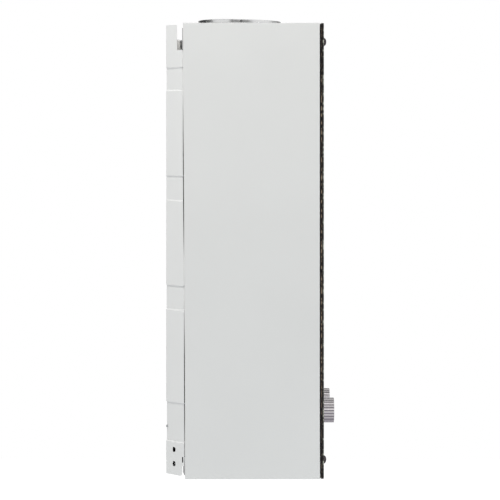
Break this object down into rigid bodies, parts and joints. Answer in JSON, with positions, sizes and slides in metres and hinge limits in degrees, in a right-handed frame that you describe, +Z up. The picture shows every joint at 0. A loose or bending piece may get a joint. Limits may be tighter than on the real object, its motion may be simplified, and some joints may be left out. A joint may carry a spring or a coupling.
{
  "type": "tankless water heater",
  "caption": "Wall-hung gas instantaneous water heater: enamelled case, dark glass front, fluted knobs, round flue collar on top and pipe fittings below.",
  "frame": {"origin": "centre of the back plate's wall face, at mid height of the case", "axes": "+Z up towards the flue collar, +Y into the wall so the glass front faces -Y, X across the width"},
  "size_m": [0.33, 0.2056, 0.571],
  "materials": {
    "white_enamel": "smooth enamel",
    "plate_enamel": "smooth enamel",
    "printed_glass": "toughened, printed black behind",
    "black_foam": "foam strip",
    "dark_chrome": "polished",
    "satin_silver": "satin plated",
    "zinc_steel": "galvanised",
    "screw_steel": "zinc plated",
    "copper": "drawn copper",
    "brass": "cast and machined",
    "cast_aluminium": "die cast",
    "black_plastic": "moulded",
    "grey_plastic": "moulded",
    "red_plastic": "moulded",
    "black_rubber": "moulded",
    "white_ceramic": "glazed",
    "cell_jacket": "printed jacket, plain"
  },
  "bodies": {
    "housing": {"back_plate": "plate_enamel", "front_cover": "white_enamel", "front_glass": "printed_glass", "glass_gasket": "black_foam", "glass_screw_upper_left": "dark_chrome", "glass_screw_upper_right": "dark_chrome", "glass_screw_lower_left": "dark_chrome", "glass_screw_lower_right": "dark_chrome", "cover_screw_left": "screw_steel", "cover_screw_right": "screw_steel", "display_module": "black_plastic", "flue_collar": "zinc_steel", "flue_hood": "zinc_steel", "hood_bracket": "zinc_steel", "exchanger_shell": "copper", "fin_core": "copper", "chamber_coil": "copper", "hot_pipe": "copper", "overheat_thermostat": "black_plastic", "flue_switch": "black_plastic", "exchanger_upper_bracket": "zinc_steel", "exchanger_lower_bracket": "zinc_steel", "burner_frame": "zinc_steel", "burner_bracket": "zinc_steel", "gas_manifold": "cast_aluminium", "gas_riser": "zinc_steel", "spark_electrode": "white_ceramic", "flame_sensor": "white_ceramic", "fitting_bracket": "zinc_steel", "gas_inlet_elbow": "cast_aluminium", "cold_inlet_elbow": "brass", "hot_outlet_fitting": "brass", "gas_lock_nut": "brass", "hot_lock_nut": "brass", "cold_lock_nut": "brass", "gas_valve_body": "cast_aluminium", "gas_solenoid": "black_plastic", "water_valve_body": "brass", "diaphragm": "black_rubber", "diaphragm_cover": "brass", "microswitch": "black_plastic", "control_box": "grey_plastic", "battery_box": "black_plastic", "battery_cell_1": "cell_jacket", "battery_cell_2": "cell_jacket", "burner_bar_1": "zinc_steel", "burner_bar_2": "zinc_steel", "burner_bar_3": "zinc_steel", "burner_bar_4": "zinc_steel", "burner_bar_5": "zinc_steel", "burner_bar_6": "zinc_steel", "burner_bar_7": "zinc_steel"},
    "gas_control": {"gas_knob": "satin_silver", "gas_spindle": "screw_steel"},
    "water_control": {"water_knob": "satin_silver", "water_spindle": "screw_steel"},
    "rod": {"push_rod": "screw_steel"},
    "lever": {"microswitch_lever": "screw_steel"},
    "drain": {"drain_handle": "red_plastic"},
    "lid": {"battery_lid": "black_plastic"}
  },
  "joints": [
    {"name": "gas_knob_turn", "type": "hinge", "parent": "housing", "child": "gas_control", "pos_m": [-0.0825, -0.1912, -0.198], "axis": [0, 1, 0], "range_deg": [0, 150]},
    {"name": "water_knob_turn", "type": "hinge", "parent": "housing", "child": "water_control", "pos_m": [0.0825, -0.1912, -0.198], "axis": [0, 1, 0], "range_deg": [0, 270]},
    {"name": "rod_slide", "type": "slide", "parent": "housing", "child": "rod", "axis": [-1, 0, 0], "range_m": [0, 0.005], "stiffness_N_per_m": 400, "springref_m": -0.002},
    {"name": "lever_tilt", "type": "hinge", "parent": "housing", "child": "lever", "pos_m": [-0.044, -0.098, -0.1665], "axis": [0, -1, 0], "range_deg": [0, 5.2]},
    {"name": "drain_turn", "type": "hinge", "parent": "housing", "child": "drain", "pos_m": [0.098, -0.098, -0.215], "axis": [0, 0, 1], "range_deg": [0, 90]},
    {"name": "battery_lid_swing", "type": "hinge", "parent": "housing", "child": "lid", "pos_m": [0, -0.13885, -0.2718], "axis": [-1, 0, 0], "range_deg": [0, 95]}
  ],
  "couplings": [
    {"joint": "lever_tilt", "follows": "rod_slide", "rad_per_m": 17.4}
  ]
}
